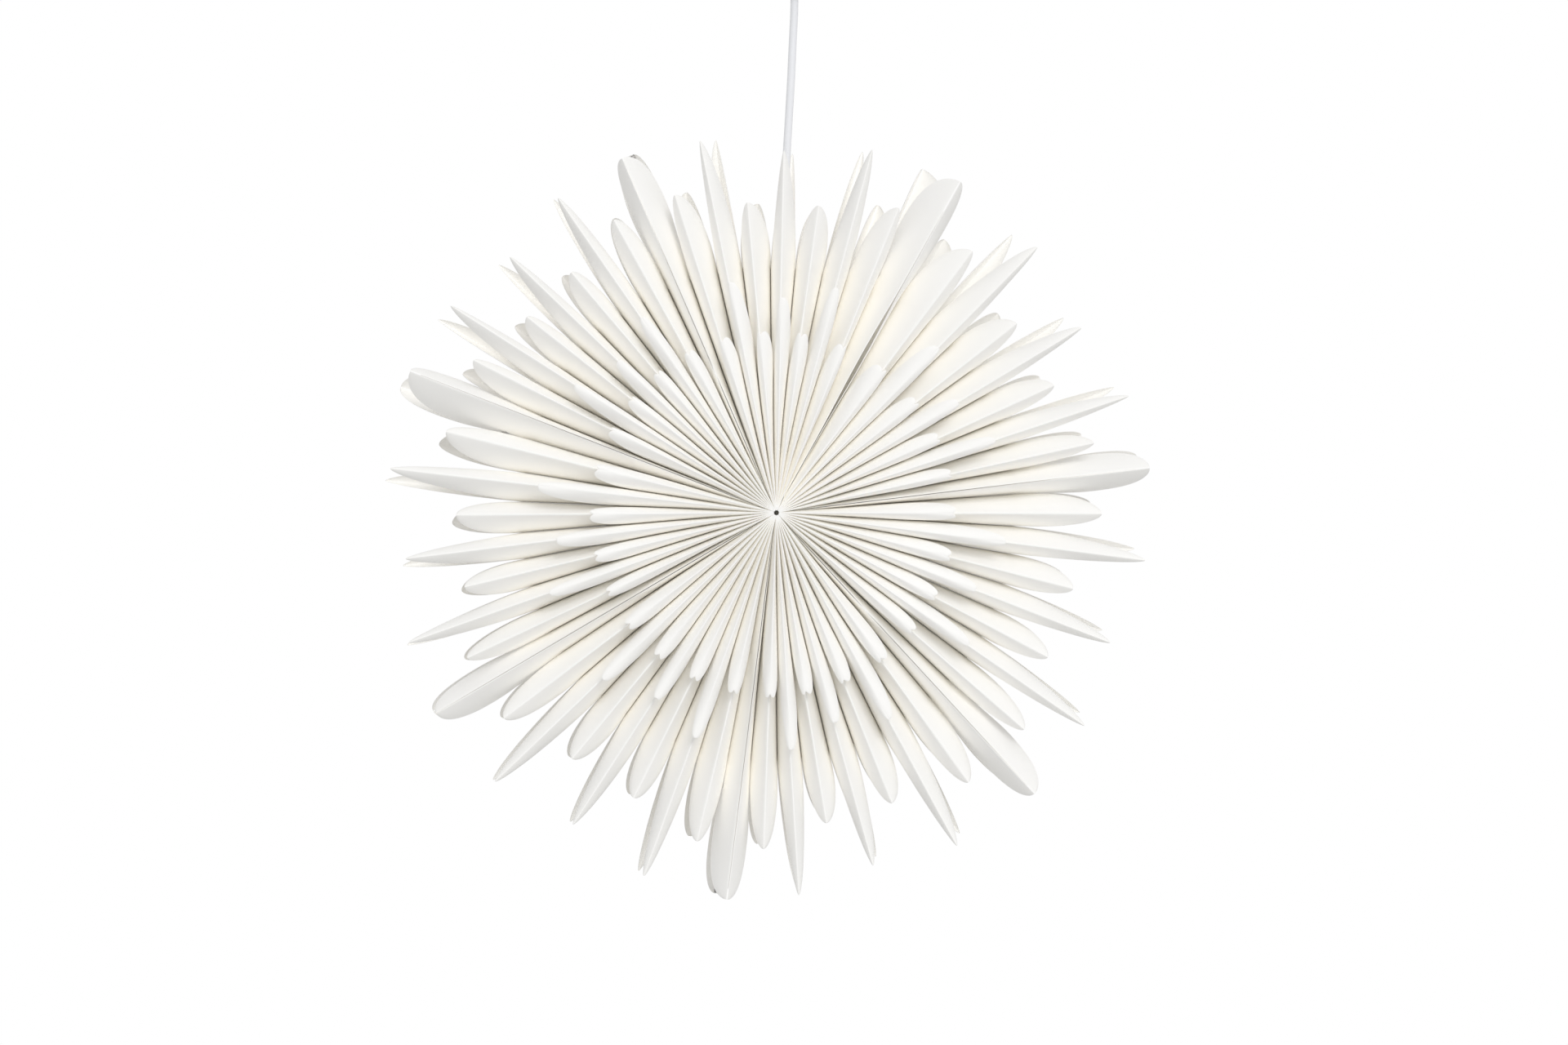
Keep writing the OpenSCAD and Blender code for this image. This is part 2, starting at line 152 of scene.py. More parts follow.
def arm_angle(k, share, face):
    lean = radians((front_lean, back_lean)[face][k])
    straight = seam_angle(k, face) * (1 - share) + seam_angle(k + 1, face) * share
    return straight + lean * 4 * share * (1 - share)


def edge_angle(k, j):
    return (arm_angle(k, edge_shares[j], FRONT) + arm_angle(k, edge_shares[j], BACK)) / 2


def middle_angle(k, i, face):
    return arm_angle(k, (edge_shares[i] + edge_shares[i + 1]) / 2, face)


def polar(r, a, y):
    reach = 1 + lopsided * cos(a - lopsided_at)
    return Vector((star_x + r * reach * cos(a), y, star_z + r * reach * sin(a)))


def along(a):
    return Vector((-sin(a), 0, cos(a)))


foot_slope = (long_notch - cavity_r) / (long_notch - centre_hole)


def foot(r):
    """Radius on the glue line of the fold line that leaves the ridge at radius r."""
    return cavity_r + (r - centre_hole) * foot_slope if r < long_notch else r


def head(r):
    return centre_hole + (r - cavity_r) / foot_slope


across = [0, 0.01, 0.025, 0.07, 0.15, 0.28, 0.44, 0.62, 0.81, 1]
crest = [0.0187, 0.02, 0.025]
glued_rows = 8
free_rows = 22


def petal_rows(start, notch, tip, round_power, tip_power, flare=0):
    """Ridge radius, share of the flank's width, flare and looseness, from the inner end to the tip."""
    rows = [(start + (notch - start) * n / glued_rows, 1, 0, 0) for n in range(glued_rows)]
    for n in range(free_rows + 1):
        t = sin(pi / 2 * n / free_rows)
        rows.append((notch + (tip - notch) * t, (1 - t ** round_power) ** tip_power if n < free_rows else 0,
            flare * min(1, 2 * t), t))
    return rows


def no_gap(r):
    return 0


def flank(rows, ridge_a, edge_a, depth, face, hand, opening, inset, flat, ridge_gap=no_gap):
    """Points of one flank, a list across the flank for each row, each with its bow and looseness.
    Towards the free tip the fold opens: its depth falls by the share flat, and it turns to the front."""
    front = 1 if face == FRONT else -1
    net = []
    for r, share, flare, loose in rows:
        ridge = polar(r, ridge_a, -front * depth) + ridge_gap(r) * hand * along(ridge_a)
        q = foot(r)
        wide = hand * (flare * q * sin(opening) - inset) * along(edge_a)
        glued = polar(q, edge_a, -front * glue_half) + wide
        half_width = q * sin(opening) * share
        line = []
        for n, v in enumerate(across):
            way = v * (glued - ridge)
            way.y = (crest[n] if n < len(crest) else v) * (glued - ridge).y * (1 - flat * loose ** 0.7)
            line.append((ridge + share * way, 4 * v * (1 - v) * half_width, loose * v))
        net.append(line)
    return net


class Sheet:
    """A folded sheet as a single layer of faces, to which the tree then gives the paper's thickness."""

    def __init__(self):
        self.points, self.faces, self.bow, self.loose = [], [], [], []
        self.index = {}

    def point(self, knot, owner):
        place, bow, loose = knot
        key = (owner, round(place.x, 7), round(place.y, 7), round(place.z, 7))
        if key not in self.index:
            self.index[key] = len(self.points)
            self.points.append(place)
            self.bow.append(bow)
            self.loose.append(loose)
        return self.index[key]

    def face(self, knots, owner, turned):
        corners = []
        for knot in knots:
            n = self.point(knot, owner)
            if n not in corners:
                corners.append(n)
        if len(corners) > 2:
            self.faces.append(corners[::-1] if turned else corners)

    def net(self, net, owner, turned):
        for a, b in zip(net, net[1:]):
            for n in range(len(a) - 1):
                self.face([a[n], b[n], b[n + 1], a[n + 1]], owner, turned)

    def half_envelope(self, folds, owner, hand):
        """The front and back flank on one hand of the ridges, and the glued strip between them."""
        for face in (FRONT, BACK):
            self.net(folds[face], owner, (hand == 1) == (face == BACK))
        strip = [[f[-1], b[-1]] for f, b in zip(folds[FRONT], folds[BACK])]
        self.net(strip[:glued_rows + 1], owner, hand == -1)

    def mesh(self, name):
        mesh = bpy.data.meshes.new(name)
        mesh.from_pydata(self.points, [], self.faces, shade_flat=False)
        for label, values in (("bow", self.bow), ("loose", self.loose)):
            mesh.attributes.new(label, "FLOAT", "POINT").data.foreach_set("value", values)
        return mesh


def add_envelope(sheet, k, i, rows, depth, flat):
    """Front and back fold of one arm, closed by the glued strips on both sides as far as the notch."""
    opening = (edge_angle(k, i + 1) - edge_angle(k, i)) / 2
    for hand in (-1, 1):
        edge_a = edge_angle(k, i + 1 if hand == 1 else i)
        folds = [flank(rows, middle_angle(k, i, face), edge_a, depth, face, hand, opening,
            paper_t + hidden_gap, flat) for face in (FRONT, BACK)]
        sheet.half_envelope(folds, (k, i), hand)


def paper_tree():
    """Geometry Nodes: bows the flanks, ripples their loose edges and gives the sheet its thickness."""
    tree = bpy.data.node_groups.new("folded_card", "GeometryNodeTree")
    face = tree.interface
    face.new_socket("Sheet", in_out="INPUT", socket_type="NodeSocketGeometry")
    for name, kind, value in (("Bow", "Float", 0.2), ("Ripple", "Float", 1 * mm),
            ("Ripple size", "Float", 50 * mm), ("Seed", "Float", 3), ("Thickness", "Float", paper_t),
            ("Card", "Material", None)):
        socket = face.new_socket(name, in_out="INPUT", socket_type="NodeSocket" + kind)
        if value is not None:
            socket.default_value = value
    face.new_socket("Paper", in_out="OUTPUT", socket_type="NodeSocketGeometry")
    nodes, links = tree.nodes, tree.links
    given = nodes.new("NodeGroupInput").outputs
    result = nodes.new("NodeGroupOutput")

    def math(operation, a, b):
        node = nodes.new("ShaderNodeMath")
        node.operation = operation
        for socket, value in zip(node.inputs, (a, b)):
            if isinstance(value, (int, float)):
                socket.default_value = value
            else:
                links.new(value, socket)
        return node.outputs[0]

    def stored(name):
        node = nodes.new("GeometryNodeInputNamedAttribute")
        node.data_type = "FLOAT"
        node.inputs["Name"].default_value = name
        return node.outputs["Attribute"]

    wave = nodes.new("ShaderNodeTexNoise")
    wave.noise_dimensions = "4D"
    wave.inputs["Detail"].default_value = 1
    links.new(given["Seed"], wave.inputs["W"])
    links.new(math("DIVIDE", 1, given["Ripple size"]), wave.inputs["Scale"])
    height = math("MULTIPLY", stored("loose"), given["Ripple"])
    ripple = math("MULTIPLY", math("SUBTRACT", wave.outputs["Fac"], 0.5), height)
    lift = math("ADD", math("MULTIPLY", stored("bow"), given["Bow"]), ripple)
    outwards = nodes.new("GeometryNodeInputNormal")
    shift = nodes.new("ShaderNodeVectorMath")
    shift.operation = "SCALE"
    links.new(outwards.outputs["Normal"], shift.inputs[0])
    links.new(lift, shift.inputs["Scale"])
    bent = nodes.new("GeometryNodeSetPosition")
    links.new(given["Sheet"], bent.inputs["Geometry"])
    links.new(shift.outputs[0], bent.inputs["Offset"])
    thick = nodes.new("GeometryNodeExtrudeMesh")
    thick.mode = "FACES"
    thick.inputs["Individual"].default_value = False
    links.new(bent.outputs["Geometry"], thick.inputs["Mesh"])
    links.new(given["Thickness"], thick.inputs["Offset Scale"])
    inside = nodes.new("GeometryNodeFlipFaces")
    links.new(bent.outputs["Geometry"], inside.inputs["Mesh"])
    both = nodes.new("GeometryNodeJoinGeometry")
    links.new(thick.outputs["Mesh"], both.inputs[0])
    links.new(inside.outputs["Mesh"], both.inputs[0])
    closed = nodes.new("GeometryNodeMergeByDistance")
    closed.inputs["Distance"].default_value = 0.001 * mm
    links.new(both.outputs[0], closed.inputs["Geometry"])
    real = nodes.new("GeometryNodeRealizeInstances")
    links.new(closed.outputs["Geometry"], real.inputs["Geometry"])
    painted = nodes.new("GeometryNodeSetMaterial")
    links.new(real.outputs["Geometry"], painted.inputs["Geometry"])
    links.new(given["Card"], painted.inputs["Material"])
    links.new(painted.outputs["Geometry"], result.inputs["Paper"])
    return tree


def white_card():
    """Smooth white card: a mottled tone, short fibres in the surface and a soft matt sheen."""
    material = bpy.data.materials.new("petal_paper")
    material.use_nodes = True
    nodes, links = material.node_tree.nodes, material.node_tree.links
    shader = nodes["Principled BSDF"]
    shader.inputs["Roughness"].default_value = 0.62
    shader.inputs["Specular IOR Level"].default_value = 0.3
    place = nodes.new("ShaderNodeTexCoord")
    mottle = nodes.new("ShaderNodeTexNoise")
    mottle.inputs["Scale"].default_value = 60
    mottle.inputs["Detail"].default_value = 5
    tone = nodes.new("ShaderNodeMix")
    tone.data_type = "RGBA"
    tone.inputs["A"].default_value = (0.98, 0.972, 0.95, 1)
    tone.inputs["B"].default_value = (0.992, 0.986, 0.972, 1)
    fibres = nodes.new("ShaderNodeTexNoise")
    fibres.inputs["Scale"].default_value = 700
    fibres.inputs["Detail"].default_value = 6
    fibres.inputs["Distortion"].default_value = 1.5
    bump = nodes.new("ShaderNodeBump")
    bump.inputs["Strength"].default_value = 0.15
    bump.inputs["Distance"].default_value = 0.03 * mm
    links.new(place.outputs["Object"], mottle.inputs["Vector"])
    links.new(place.outputs["Object"], fibres.inputs["Vector"])
    links.new(mottle.outputs["Fac"], tone.inputs["Factor"])
    links.new(tone.outputs["Result"], shader.inputs["Base Color"])
    links.new(fibres.outputs["Fac"], bump.inputs["Height"])
    links.new(bump.outputs["Normal"], shader.inputs["Normal"])
    return material


card = white_card()
folded_card = paper_tree()


def plain_mesh(carrier, tree, name, **values):
    """What a Geometry Nodes tree makes of the carrier, as a plain mesh with crisp cut edges."""
    modifier = carrier.modifiers.new(tree.name, "NODES")
    modifier.node_group = tree
    sockets = {s.name: s.identifier for s in tree.interface.items_tree if s.in_out == "INPUT"}
    for label, value in values.items():
        modifier[sockets[label]] = value
    mesh = bpy.data.meshes.new_from_object(carrier.evaluated_get(bpy.context.evaluated_depsgraph_get()))
    mesh.name = name
    mesh.set_sharp_from_angle(angle=radians(60))
    bpy.data.objects.remove(carrier)
    return mesh


def fold(sheet, name, bow, ripple, seed):
    laid = bpy.data.objects.new(name + "_laid", sheet.mesh(name + "_laid"))
    bpy.context.scene.collection.objects.link(laid)
    piece = bpy.data.objects.new(name,
        plain_mesh(laid, folded_card, name, Bow=bow, Ripple=ripple, Seed=float(seed), Card=card))
    bpy.context.scene.collection.objects.link(piece)
    return piece


def cutting_tree():
    """Geometry Nodes: at each mark a pin of the mark's size and direction is cut out of the paper."""
    tree = bpy.data.node_groups.new("cut_out", "GeometryNodeTree")
    face = tree.interface
    face.new_socket("Marks", in_out="INPUT", socket_type="NodeSocketGeometry")
    face.new_socket("Paper", in_out="INPUT", socket_type="NodeSocketObject")
    face.new_socket("Pin sides", in_out="INPUT", socket_type="NodeSocketInt").default_value = 24
    face.new_socket("Card", in_out="INPUT", socket_type="NodeSocketMaterial")
    face.new_socket("Cut paper", in_out="OUTPUT", socket_type="NodeSocketGeometry")
    nodes, links = tree.nodes, tree.links
    given = nodes.new("NodeGroupInput").outputs
    result = nodes.new("NodeGroupOutput")

    def stored(name):
        node = nodes.new("GeometryNodeInputNamedAttribute")
        node.data_type = "FLOAT_VECTOR"
        node.inputs["Name"].default_value = name
        return node.outputs["Attribute"]

    pin = nodes.new("GeometryNodeMeshCylinder")
    pin.inputs["Radius"].default_value = 1
    pin.inputs["Depth"].default_value = 1
    links.new(given["Pin sides"], pin.inputs["Vertices"])
    turn = nodes.new("FunctionNodeAlignRotationToVector")
    links.new(stored("facing"), turn.inputs["Vector"])
    pins = nodes.new("GeometryNodeInstanceOnPoints")
    links.new(given["Marks"], pins.inputs["Points"])
    links.new(pin.outputs["Mesh"], pins.inputs["Instance"])
    links.new(turn.outputs["Rotation"], pins.inputs["Rotation"])
    links.new(stored("size"), pins.inputs["Scale"])
    real = nodes.new("GeometryNodeRealizeInstances")
    links.new(pins.outputs["Instances"], real.inputs["Geometry"])
    paper = nodes.new("GeometryNodeObjectInfo")
    links.new(given["Paper"], paper.inputs["Object"])
    cut = nodes.new("GeometryNodeMeshBoolean")
    cut.operation = "DIFFERENCE"
    links.new(paper.outputs["Geometry"], cut.inputs["Mesh 1"])
    links.new(real.outputs["Geometry"], cut.inputs["Mesh 2"])
    painted = nodes.new("GeometryNodeSetMaterial")
    links.new(cut.outputs["Mesh"], painted.inputs["Geometry"])
    links.new(given["Card"], painted.inputs["Material"])
    links.new(painted.outputs["Geometry"], result.inputs["Cut paper"])
    return tree


cut_out = cutting_tree()


def cut(piece, marks):
    """Cuts pins out of a piece of paper. Each mark is a place, a direction, a radius and a length."""
    mesh = bpy.data.meshes.new("marks")
    mesh.from_pydata([place for place, _, _, _ in marks], [], [])
    for label, vectors in (("facing", [facing for _, facing, _, _ in marks]),
            ("size", [(radius, radius, length) for _, _, radius, length in marks])):
        values = mesh.attributes.new(label, "FLOAT_VECTOR", "POINT").data
        values.foreach_set("vector", [c for v in vectors for c in v])
    carrier = bpy.data.objects.new("marks", mesh)
    bpy.context.scene.collection.objects.link(carrier)
    piece.data = plain_mesh(carrier, cut_out, piece.name, Paper=piece, Card=card)


def hang_paper(piece, node):
    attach(piece, "root")
    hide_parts(node)


# The topmost segment is cut out round the lamp holder, which hangs on the cord inside it, and above that
# round the grip that clamps the cord. Both cuts reach as far below the bulb's middle as above it.
lamp_at = Vector((-14.5, 0, -460)) * mm
room_r, room_top = 14.3 * mm, 70.2 * mm
grip_room_r, grip_room_top = 5.4 * mm, 78.2 * mm
holder_room = [(lamp_at, (0, 0, 1), room_r, 2 * room_top), (lamp_at, (0, 0, 1), grip_room_r, 2 * grip_room_top)]
holder_segment = 1

long_depth = 50 * mm
long_start = 10 * mm
long_tips = [262, 299, 246, 287, 246, 299, 262]
long_flat = 0.4
broad_round, slender_round = (1.9, 0.53), (0.95, 0.68)
envelope_bow = 0.21
long_ripple = 1.2 * mm
for k in range(segments):
    sheet = Sheet()
    for i, tip in enumerate(long_tips):
        roundness = broad_round if arm_shares[i] == broad_share else slender_round
        rows = petal_rows(long_start, long_notch, tip * mm, *roundness)
        add_envelope(sheet, k, i, rows, long_depth, long_flat)
    paper = fold(sheet, f"long_petal_paper_{k + 1}", envelope_bow, long_ripple, k)
    if k == holder_segment:
        cut(paper, holder_room)
    hang_paper(paper, f"long_petals_{k + 1}")


# Short petals: the same envelopes with a higher and shorter front and back, glued over the long ones.
# They all meet in the middle, and their petals overlap the long ones like a second, smaller star.
short_depth = 62 * mm
short_start = 1.8 * mm
short_notch = 84 * mm
short_tips = [141, 185, 141, 170, 141, 185, 141]
short_flat = 0.95
short_round = (2.2, 0.4)
short_ripple = 0.6 * mm
short_seed = 20
for k in range(segments):
    sheet = Sheet()
    for i, tip in enumerate(short_tips):
        rows = petal_rows(short_start, head(short_notch), tip * mm, *short_round)
        add_envelope(sheet, k, i, rows, short_depth, short_flat)
    paper = fold(sheet, f"short_petal_paper_{k + 1}", envelope_bow, short_ripple, short_seed + k)
    if k == holder_segment:
        cut(paper, holder_room)
    hang_paper(paper, f"short_petals_{k + 1}")


# End sheets: half an envelope at each end of a segment. Two of them, from neighbouring segments, lie
# back to back along a seam and flare out into one wide petal.
seam_tip = 303 * mm
seam_gap = 0.5 * mm
seam_flare = 0.22
seam_round = (4, 0.45)
end_bow = 0.1
end_seed = 40
gaping_seam, gape, gape_r, gape_reach = 1, 1.3 * mm, 140 * mm, 75 * mm


def end_hand(j):
    return 1 if j == 0 else -1


def end_flanks(k, j, rows):
    """Front and back flank of the end sheet at edge j of segment k."""
    seam = k if j == 0 else k + 1

    def gap(r):
        if seam != gaping_seam or abs(r - gape_r) > gape_reach:
            return seam_gap / 2
        return seam_gap / 2 + gape * cos(pi / 2 * (r - gape_r) / gape_reach) ** 2

    middle = (seam_angle(seam, FRONT) + seam_angle(seam, BACK)) / 2
    return [flank(rows, seam_angle(seam, face), edge_angle(k, j), long_depth, face, end_hand(j),
        abs(edge_angle(k, j) - middle), paper_t + hidden_gap, long_flat, gap) for face in (FRONT, BACK)]


def add_end_sheet(sheet, k, j):
    folds = end_flanks(k, j, petal_rows(long_start, long_notch, seam_tip, *seam_round, seam_flare))
    sheet.half_envelope(folds, (k, j), end_hand(j))


# Small round holes are punched through some of the end sheets, near their free edges: for each sheet, the
# radius on the ridge and the share of the way from the ridge to the edge
punched = {"4a": [(240, 0.85), (216, 0.86)], "2b": [(240, 0.86), (219, 0.86)], "2a": [(209, 0.86)],
    "5b": [(217, 0.84)], "7a": [(203, 0.86)]}
hole_r = 2 * mm
punch_length = 8 * mm


def hole_mark(k, j, r, v):
    t = max(0, (r - long_notch) / (seam_tip - long_notch))
    share = (1 - t ** seam_round[0]) ** seam_round[1]
    rows = [(r + step, share, seam_flare * min(1, 2 * t), 0) for step in (0, mm)]
    front = end_flanks(k, j, rows)[FRONT]
    ridge, edge, ridge_next = front[0][0][0], front[0][-1][0], front[1][0][0]
    facing = (edge - ridge).cross(ridge_next - ridge).normalized()
    return ridge + v * (edge - ridge), facing, hole_r, punch_length


for k in range(segments):
    for j, letter in ((0, "a"), (arms, "b")):
        sheet = Sheet()
        add_end_sheet(sheet, k, j)
        paper = fold(sheet, f"end_sheet_paper_{k + 1}{letter}", end_bow, long_ripple, end_seed + 2 * k + (j > 0))
        holes = punched.get(f"{k + 1}{letter}")
        if holes:
            cut(paper, [hole_mark(k, j, r * mm, v) for r, v in holes])
        hang_paper(paper, f"end_sheet_{k + 1}{letter}")


# Press studs close the ring of segments behind two of the seams. Each is a turned metal cap with a
# rolled rim and a dimple, riveted through the tips of the two end sheets.
def turned(name, node, slot, material, foot, outline, sides=96, up=(0, 0, 1)):
    """A turned piece. Its outline of radius and height, in millimetres, ends on the axis or is closed."""
    centre, axis = Vector(foot), Vector(up)
    across_a = axis.orthogonal().normalized()
    across_b = axis.cross(across_a)
    solid = outline[0][0] == 0 and outline[-1][0] == 0
    points, rings = [], []
    for r, h in outline:
        ring = [len(points)] if r == 0 else [len(points) + n for n in range(sides)]
        for n in range(len(ring)):
            a = 2 * pi * n / sides
            points.append(centre + mm * (h * axis + r * (cos(a) * across_a + sin(a) * across_b)))
        rings.append(ring)
    faces = []
    for low, high in zip(rings, rings[1:] + ([] if solid else rings[:1])):
        for n in range(sides):
            e = (n + 1) % sides
            corners = [low[n % len(low)], low[e % len(low)], high[e % len(high)], high[n % len(high)]]
            faces.append(list(dict.fromkeys(corners)))
    mesh = bpy.data.meshes.new(name)
    mesh.from_pydata(points, [], faces, shade_flat=False)
    mesh.set_sharp_from_angle(angle=radians(35))
    mesh.materials.append(material)
    piece = bpy.data.objects.new(name, mesh)
    bpy.context.scene.collection.objects.link(piece)
    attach(piece, "root")
    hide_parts(node)
    return piece


def metal(name, colour, roughness, worn):
    """Plated metal: fine scratches in the polish, and duller patches where it is worn."""
    material = bpy.data.materials.new(name)
    material.use_nodes = True
    nodes, links = material.node_tree.nodes, material.node_tree.links
    shader = nodes["Principled BSDF"]
    shader.inputs["Base Color"].default_value = (*colour, 1)
    shader.inputs["Metallic"].default_value = 1
    place = nodes.new("ShaderNodeTexCoord")
    patches = nodes.new("ShaderNodeTexNoise")
    patches.inputs["Scale"].default_value = 300
    patches.inputs["Detail"].default_value = 5
    dull = nodes.new("ShaderNodeMapRange")
    dull.inputs["To Min"].default_value = roughness
    dull.inputs["To Max"].default_value = roughness + worn
    scratches = nodes.new("ShaderNodeTexNoise")
    scratches.inputs["Scale"].default_value = 4000
    bump = nodes.new("ShaderNodeBump")
    bump.inputs["Strength"].default_value = 0.2
    bump.inputs["Distance"].default_value = 0.01 * mm
    links.new(place.outputs["Object"], patches.inputs["Vector"])
    links.new(place.outputs["Object"], scratches.inputs["Vector"])
    links.new(patches.outputs["Fac"], dull.inputs["Value"])
    links.new(dull.outputs["Result"], shader.inputs["Roughness"])
    links.new(scratches.outputs["Fac"], bump.inputs["Height"])
    links.new(bump.outputs["Normal"], shader.inputs["Normal"])
    return material


stud_metal = metal("stud_metal", (0.3, 0.29, 0.28), 0.25, 0.2)
stud_in = 4 * mm
stud_sunk = 2.8 * mm
stud_seams = 2, 5
stud_outline = [(0, 0.5), (0.9, 0.55), (1.3, 0.4), (1.5, 0.1), (1.9, 0), (2.5, 0.1), (2.8, 0.35),
    (3.05, 0.4), (3.2, 0.25), (3.4, 0.35), (3.5, 0.6), (3.5, 1.9), (3.35, 2.15), (2.5, 2.3), (2.35, 2.9), (0, 3)]
for n, seam in enumerate(stud_seams):
    foot_at = polar(seam_tip - stud_in, seam_angle(seam, BACK), long_depth - stud_sunk)
    turned(f"press_stud_{n + 1}", "press_studs", "stud_metal", stud_metal, foot_at, stud_outline, 48, (0, 1, 0))


# Bulb: a small opal globe with a plastic collar and a screw cap of plated brass, in the middle of the star.
opal = plastic("bulb_opal", (0.9, 0.9, 0.88), 0.15, 2 * mm, 0.01 * mm, 0.01)
globe_r = 22.5
globe = [(globe_r * cos(radians(a)), globe_r * sin(radians(a))) for a in range(-90, 36, 5)]
globe[0] = (0, -globe_r)
neck_z = 31.5
turned("bulb_globe", "bulb", "bulb_glass", opal, lamp_at,
    globe + [(11.2, 26.6), (10.9, 27.4), (11, 28), (11, neck_z - 0.4), (10.6, neck_z), (0, neck_z)], 128)
thread_turns, thread_pitch = 4, 3.6
thread = [(r, 3 + step + thread_pitch * n) for n in range(thread_turns)
    for r, step in ((6.7, 0), (7, 0.9), (7, 1.8), (6.7, 2.7))]
cap_end = [(6.5, 18.4), (4.6, 20.6), (3, 21.4), (3, 23.5), (2.4, 24), (0, 24)]
turned("bulb_screw_cap", "bulb", "bulb_glass", metal("cap_metal", (0.75, 0.72, 0.66), 0.25, 0.15),
    lamp_at + Vector((0, 0, neck_z)) * mm, [(0, 0), (6.9, 0), (6.9, 1.5)] + thread + cap_end)


# Lamp holder: a moulded body and a domed cap screwed to each other, with the terminal block between
# them and a grip on top that clamps the cord.
holder_white = plastic("holder_plastic", (0.87, 0.87, 0.86), 0.42, 0.8 * mm, 0.03 * mm)
holder_foot = lamp_at + Vector((0, 0, 32)) * mm
cap_foot = holder_foot + Vector((0, 0, 23.8)) * mm
turned("holder_shell", "holder_body", "holder_plastic", holder_white, holder_foot,
    [(7.4, 0.3), (7.7, 0), (12.1, 0), (12.5, 0.3), (13.3, 5.4), (13.5, 6.2), (13.5, 19.2), (13.2, 19.6),
    (13.2, 20.2), (13.5, 20.6), (13.5, 23.5), (13.2, 23.8), (7.6, 23.8), (7.4, 23.6)], 128)
turned("holder_dome", "holder_cap", "holder_plastic", holder_white, cap_foot,
    [(11.5, 0.2), (11.7, 0), (13.2, 0), (13.5, 0.3), (13.5, 9.4), (13.3, 10.4), (12.6, 11.7), (11.4, 13),
    (10.2, 13.9), (9.2, 14.2), (0, 14.2), (0, 11.2), (7.5, 11.2), (11.5, 7.2)], 128)
turned("terminal_block", "contact_block", "contact_ceramic",
    plastic("contact_ceramic", (0.8, 0.78, 0.72), 0.5, 0.6 * mm, 0.04 * mm), cap_foot,
    [(0, 0), (10.9, 0), (11.2, 0.3), (11.2, 4.7), (10.9, 5), (0, 5)])
turned("cord_clamp", "holder_grip", "holder_plastic", holder_white, cap_foot + Vector((0, 0, 14.2)) * mm,
    [(0, 0), (4.7, 0), (5, 0.3), (5, 2), (4.7, 2.3), (4.7, 2.8), (5, 3.1), (5, 5.6), (4.8, 6.1), (3.9, 7.8),
    (3.5, 8), (0, 8)])


# Ceiling fitting: a white moulded cup, held by two screws in its sides to the tabs of a steel strap on the
# ceiling. The cord goes through its bottom in a grip with a six-sided nut inside. None of it is in the photo.
cup_white = plastic("cup_plastic", (0.88, 0.88, 0.88), 0.3, 0.8 * mm, 0.02 * mm)
strap_steel = metal("strap_steel", (0.62, 0.63, 0.64), 0.3, 0.2)
cup_shell = turned("cup_shell", "ceiling_cup", "cup_plastic", cup_white, (0, 0, 0),
    [(5.2, -44.8), (5.4, -45), (23.2, -45), (24.3, -44.7), (25.2, -43.9), (45.2, -18.6), (45.8, -17.6),
    (46, -16.6), (46, -0.8), (45.7, -0.5), (44.7, -0.5), (44.4, -0.8), (44.4, -16.4), (23.4, -43.4),
    (5.4, -43.4), (5.2, -43.2)], 192)
cord_grip = turned("cup_cord_grip", "cup_grip", "holder_plastic", holder_white, (0, 0, 0),
    [(0, -50), (3.5, -50), (4, -49.9), (7.6, -47.3), (8, -46.8), (8, -45.3), (7.7, -45), (5.1, -45),
    (5.1, -38), (4.6, -37.4), (0, -37.4)])
finishes = {"holder_plastic": holder_white, "strap_steel": strap_steel}
for part in frame["record"]["subparts"]:
    node = frame["nodes"][part["node"]]
    if not node.hide_render:
        node.data.materials.clear()
        node.data.materials.append(finishes[part["material_slot"]])


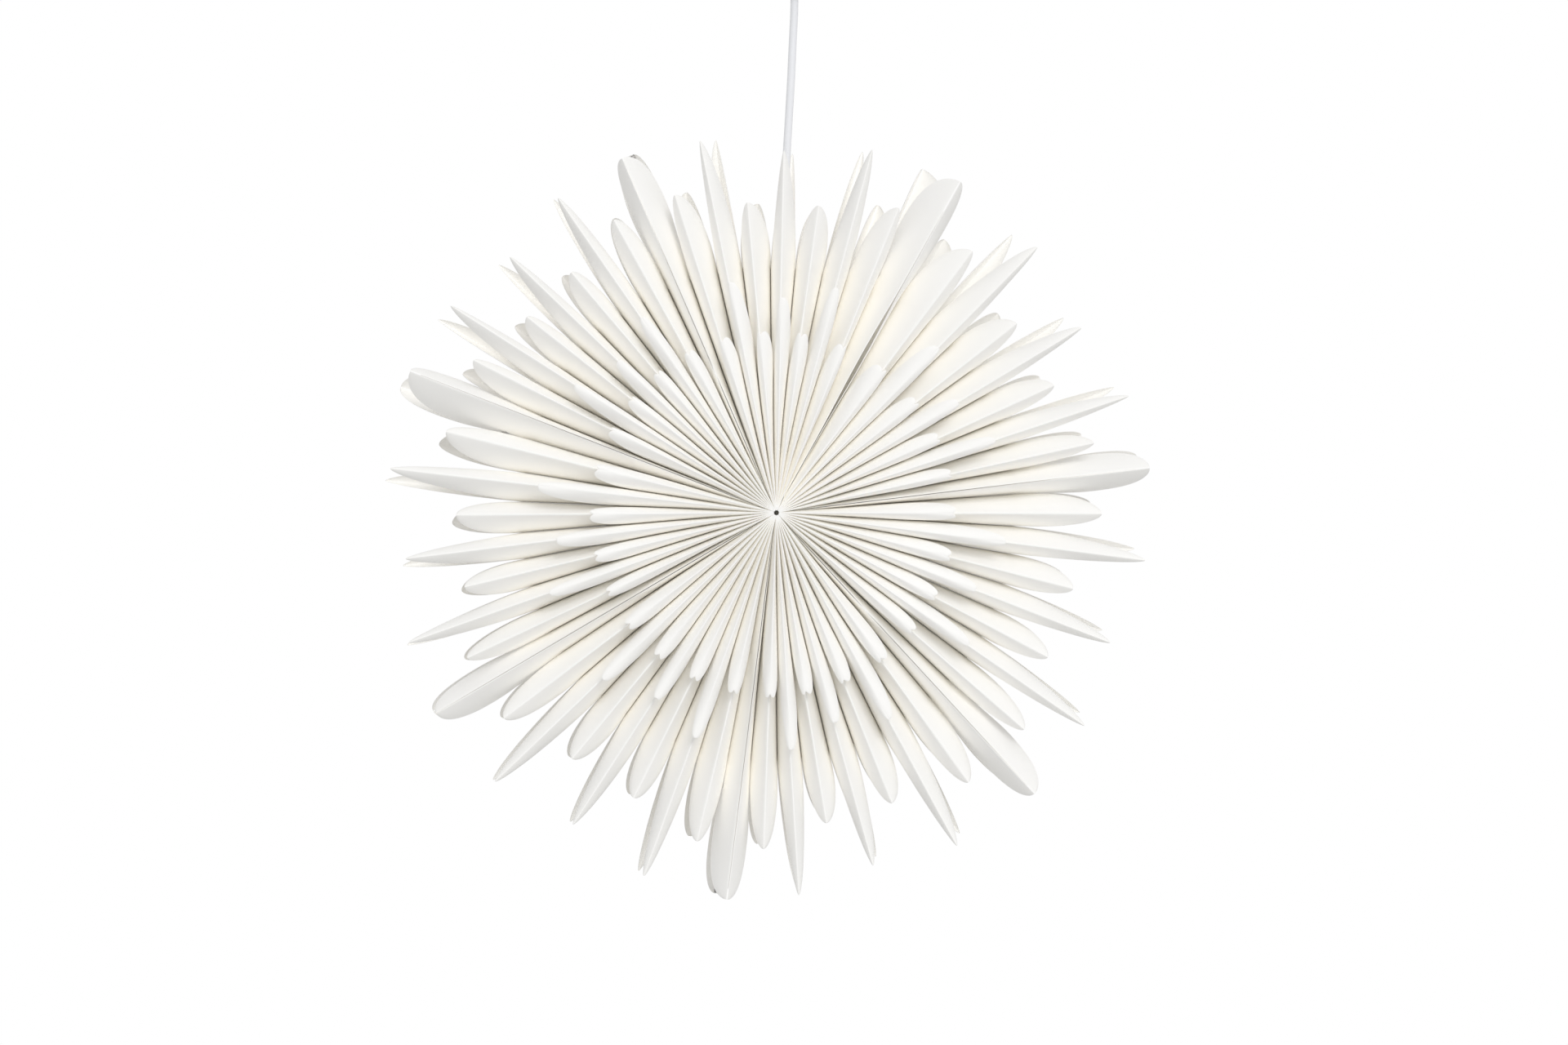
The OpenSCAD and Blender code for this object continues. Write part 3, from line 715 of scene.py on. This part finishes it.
# Room: a pale floor below the lamp, a white surrounding that gives most of the light, a large soft lamp
# above, and from the front and above a broad light that draws soft shadows under the short petals.
floor_z = -1.35
floor_reach = 3
floor_mesh = bpy.data.meshes.new("floor")
floor_corners = [(-floor_reach, -floor_reach), (floor_reach, -floor_reach), (floor_reach, floor_reach),
    (-floor_reach, floor_reach)]
floor_mesh.from_pydata([(x, y, floor_z) for x, y in floor_corners], [], [(0, 1, 2, 3)])
floor = bpy.data.objects.new("floor", floor_mesh)
bpy.context.scene.collection.objects.link(floor)
floor_paint = bpy.data.materials.new("floor_paint")
floor_paint.use_nodes = True
floor_paint.node_tree.nodes["Principled BSDF"].inputs["Base Color"].default_value = (0.8, 0.8, 0.79, 1)
floor_paint.node_tree.nodes["Principled BSDF"].inputs["Roughness"].default_value = 0.8
floor_mesh.materials.append(floor_paint)

# Light that falls into the folds goes from paper to paper many times before it comes out again
bpy.context.scene.cycles.max_bounces = 28
bpy.context.scene.cycles.diffuse_bounces = 24

world = bpy.data.worlds.new("studio")
bpy.context.scene.world = world
world.use_nodes = True
nodes, links = world.node_tree.nodes, world.node_tree.links
fill_light = 0.62
rays = nodes.new("ShaderNodeLightPath")
seen = nodes.new("ShaderNodeMath")
seen.operation = "MAXIMUM"
seen_too = nodes.new("ShaderNodeMath")
seen_too.operation = "MAXIMUM"
links.new(rays.outputs["Is Camera Ray"], seen.inputs[0])
links.new(rays.outputs["Is Glossy Ray"], seen.inputs[1])
links.new(seen.outputs[0], seen_too.inputs[0])
links.new(rays.outputs["Is Transmission Ray"], seen_too.inputs[1])
strength = nodes.new("ShaderNodeMapRange")
strength.inputs["To Min"].default_value = fill_light
strength.inputs["To Max"].default_value = 1
links.new(seen_too.outputs[0], strength.inputs["Value"])
nodes["Background"].inputs["Color"].default_value = (1, 1, 1, 1)
links.new(strength.outputs["Result"], nodes["Background"].inputs["Strength"])

soft_light = bpy.data.lights.new("lamp_above", "AREA")
soft_light.shape = "DISK"
soft_light.size = 2
soft_light.energy = 5
soft_lamp = bpy.data.objects.new("lamp_above", soft_light)
soft_lamp.location = (0.6, -1.6, 1.6)
soft_lamp.rotation_euler = (aimed_at - soft_lamp.location).to_track_quat("-Z", "Y").to_euler()
bpy.context.scene.collection.objects.link(soft_lamp)
front_light = bpy.data.lights.new("lamp_front", "SUN")
front_light.energy = 1.0
front_light.angle = radians(20)
front_lamp = bpy.data.objects.new("lamp_front", front_light)
front_lamp.rotation_euler = (radians(66), 0, radians(10))
bpy.context.scene.collection.objects.link(front_lamp)
